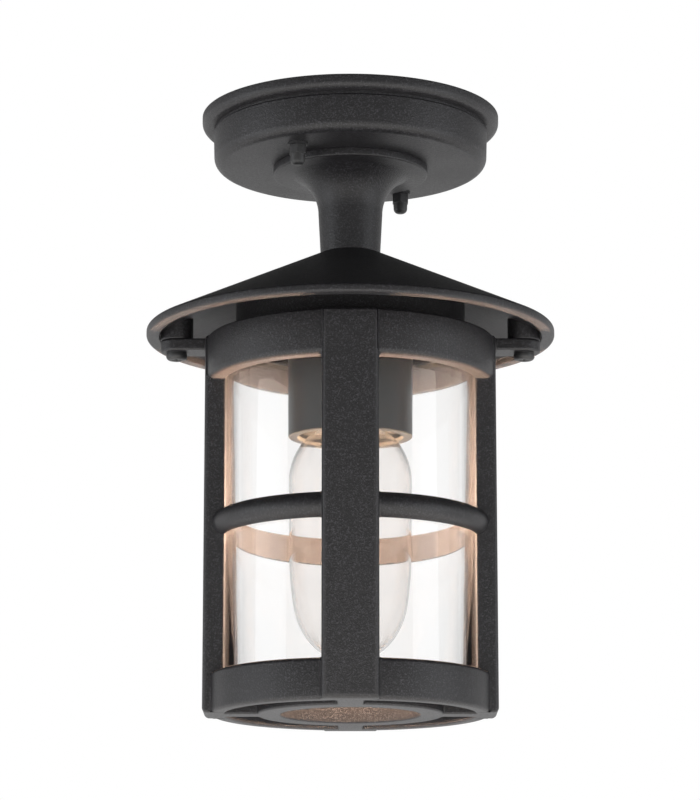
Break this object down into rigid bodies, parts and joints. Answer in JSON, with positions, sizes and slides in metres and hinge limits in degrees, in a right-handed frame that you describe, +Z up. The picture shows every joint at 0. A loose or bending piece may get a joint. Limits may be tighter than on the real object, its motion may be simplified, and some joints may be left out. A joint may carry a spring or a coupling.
{
  "type": "porch ceiling lantern",
  "caption": "Black cast porch lantern hung from a round ceiling pan by a short flared stem, with a conical roof over a barred cage round a clear glass cylinder and lamp.",
  "frame": {"origin": "centre of the ceiling face, where the bracket and the pan's rim meet the ceiling", "axes": "+Z up into the ceiling; the two ear screws are on X; one post faces -Y, towards the viewer"},
  "size_m": [0.2054, 0.2054, 0.3054],
  "materials": {
    "cast_black": "fine-textured satin black powder coat on cast aluminium",
    "cover_black": "satin black paint on spun aluminium",
    "black_steel": "black passivated steel",
    "plated_steel": "zinc plated",
    "brass_parts": "plain brass",
    "terminal_plastic": "white moulded",
    "porcelain": "glazed white ceramic",
    "gasket_rubber": "soft black rubber",
    "clear_glass": "clear, slightly wavy",
    "lamp_glass": "clear blown glass",
    "lamp_metal": "nickel plated",
    "black_glass": "black glass"
  },
  "bodies": {
    "fixture": {"ceiling_pan": "cast_black", "pan_gasket": "gasket_rubber", "mounting_bracket": "plated_steel", "bracket_studs": "plated_steel", "stud_nuts": "plated_steel", "earth_screw": "brass_parts", "terminal_block": "terminal_plastic", "terminal_screws": "brass_parts", "stem": "cast_black", "stem_screws": "plated_steel", "threaded_tube": "plated_steel", "tube_locknuts": "plated_steel", "roof": "cast_black", "roof_collar": "cast_black", "lampholder_cover": "cover_black", "lampholder_body": "porcelain", "lampholder_shell": "brass_parts", "lampholder_contact": "brass_parts"},
    "cage_unit": {"cage_posts": "cast_black", "cage_top_band": "cast_black", "cage_middle_ring": "cast_black", "cage_bottom_band": "cast_black", "cage_base_ring": "cast_black", "cage_ears": "cast_black", "glass_cylinder": "clear_glass", "lower_glass_gasket": "gasket_rubber", "upper_glass_gasket": "gasket_rubber"},
    "lamp": {"lamp_cap": "lamp_metal", "lamp_insulator": "black_glass", "lamp_contact": "lamp_metal", "lamp_envelope": "lamp_glass", "lamp_mount": "lamp_glass", "lamp_leads": "plated_steel", "lamp_filament": "plated_steel"},
    "ear_washer_left": {"ear_washer_left": "black_steel"},
    "ear_washer_right": {"ear_washer_right": "black_steel"},
    "ear_screw_left": {"ear_screw_left": "black_steel"},
    "ear_screw_right": {"ear_screw_right": "black_steel"},
    "nut_washer_near": {"nut_washer_near": "black_steel"},
    "nut_washer_far": {"nut_washer_far": "black_steel"},
    "cap_nut_near": {"cap_nut_near": "black_steel"},
    "cap_nut_far": {"cap_nut_far": "black_steel"}
  },
  "joints": [
    {"name": "cage_drop", "type": "slide", "parent": "fixture", "child": "cage_unit", "axis": [0, 0, -1], "range_m": [0, 0.17]},
    {"name": "ear_screw_left_travel", "type": "slide", "parent": "cage_unit", "child": "ear_washer_left", "axis": [0, 0, -1], "range_m": [0, 0.008]},
    {"name": "ear_screw_left_turn", "type": "hinge", "parent": "ear_washer_left", "child": "ear_screw_left", "pos_m": [-0.0873, 0, 0], "axis": [0, 0, -1], "range_deg": [0, 3600]},
    {"name": "ear_screw_right_travel", "type": "slide", "parent": "cage_unit", "child": "ear_washer_right", "axis": [0, 0, -1], "range_m": [0, 0.008]},
    {"name": "ear_screw_right_turn", "type": "hinge", "parent": "ear_washer_right", "child": "ear_screw_right", "pos_m": [0.0873, 0, 0], "axis": [0, 0, -1], "range_deg": [0, 3600]},
    {"name": "cap_nut_near_travel", "type": "slide", "parent": "fixture", "child": "nut_washer_near", "axis": [0, 0, -1], "range_m": [0, 0.008]},
    {"name": "cap_nut_near_turn", "type": "hinge", "parent": "nut_washer_near", "child": "cap_nut_near", "pos_m": [-0.0261, -0.04521, 0], "axis": [0, 0, -1], "range_deg": [0, 3600]},
    {"name": "cap_nut_far_travel", "type": "slide", "parent": "fixture", "child": "nut_washer_far", "axis": [0, 0, -1], "range_m": [0, 0.008]},
    {"name": "cap_nut_far_turn", "type": "hinge", "parent": "nut_washer_far", "child": "cap_nut_far", "pos_m": [0.0261, 0.04521, 0], "axis": [0, 0, -1], "range_deg": [0, 3600]},
    {"name": "lamp_turn", "type": "hinge", "parent": "fixture", "child": "lamp", "pos_m": [0, 0, 0], "axis": [0, 0, -1], "range_deg": [0, 1080]}
  ],
  "couplings": [
    {"joint": "ear_screw_left_turn", "follows": "ear_screw_left_travel", "rad_per_m": 7854},
    {"joint": "ear_screw_right_turn", "follows": "ear_screw_right_travel", "rad_per_m": 7854},
    {"joint": "cap_nut_near_turn", "follows": "cap_nut_near_travel", "rad_per_m": 7854},
    {"joint": "cap_nut_far_turn", "follows": "cap_nut_far_travel", "rad_per_m": 7854}
  ]
}
